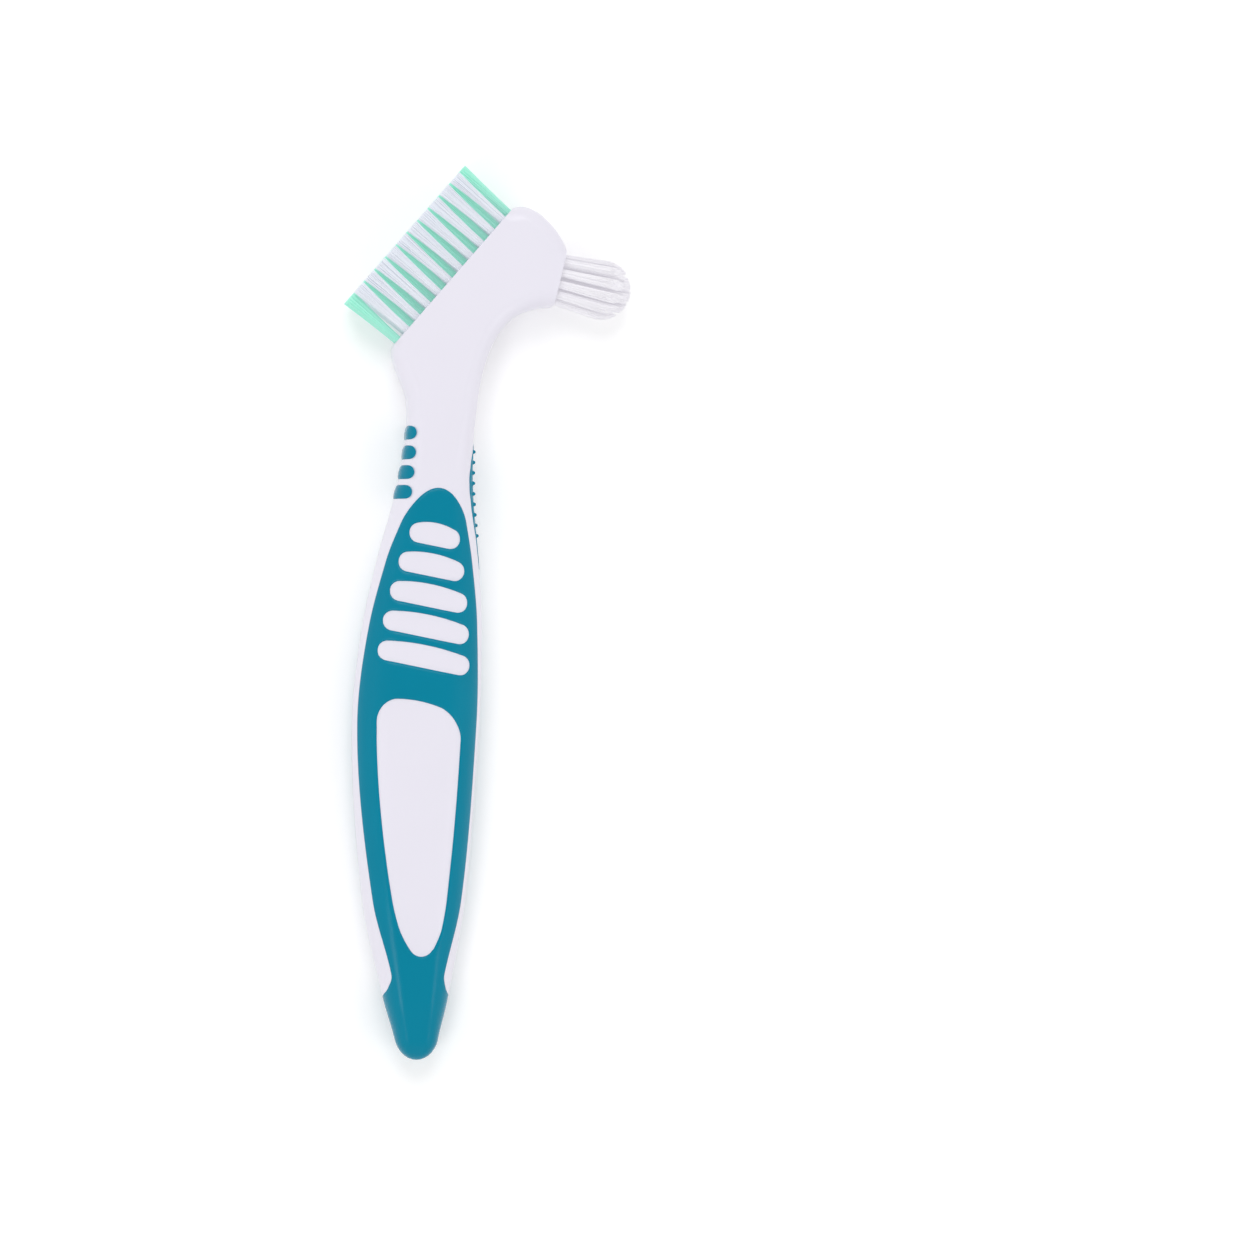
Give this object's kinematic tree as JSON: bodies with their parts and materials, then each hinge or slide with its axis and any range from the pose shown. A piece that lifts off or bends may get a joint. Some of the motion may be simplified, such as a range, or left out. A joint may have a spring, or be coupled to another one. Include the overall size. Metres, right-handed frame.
{
  "type": "denture brush",
  "caption": "Denture brush with a broad flat-trimmed bristle block, a small round domed brush and a soft-gripped palm-shaped handle.",
  "frame": {"origin": "on the flat cheek of the head that the brush rests on, under the middle of the head", "axes": "+Y runs from the tail to the head along the handle, +Z through the thickness and up from the surface the brush lies on, +X towards the small round brush"},
  "size_m": [0.0579, 0.1796, 0.015],
  "materials": {
    "core_plastic": "polished white moulded plastic",
    "soft_grip": "satin teal moulded elastomer",
    "mint_bristle": "translucent mint green filaments",
    "clear_bristle": "translucent frosty white filaments",
    "anchor_metal": "bright flat metal wire"
  },
  "bodies": {
    "root": {"handle_core": "core_plastic", "soft_grip": "soft_grip", "thumb_pad": "soft_grip", "finger_rib_1": "soft_grip", "finger_rib_2": "soft_grip", "finger_rib_3": "soft_grip", "finger_rib_4": "soft_grip", "large_tufts_row_1": "clear_bristle", "large_tufts_row_2": "mint_bristle", "large_tufts_row_3": "clear_bristle", "large_tufts_row_4": "mint_bristle", "large_tufts_row_5": "clear_bristle", "small_tufts_centre": "clear_bristle", "small_tufts_inner": "clear_bristle", "small_tufts_outer": "clear_bristle", "large_anchors_row_1": "anchor_metal", "large_anchors_row_2": "anchor_metal", "large_anchors_row_3": "anchor_metal", "large_anchors_row_4": "anchor_metal", "large_anchors_row_5": "anchor_metal", "small_anchors": "anchor_metal"}
  },
  "joints": []
}
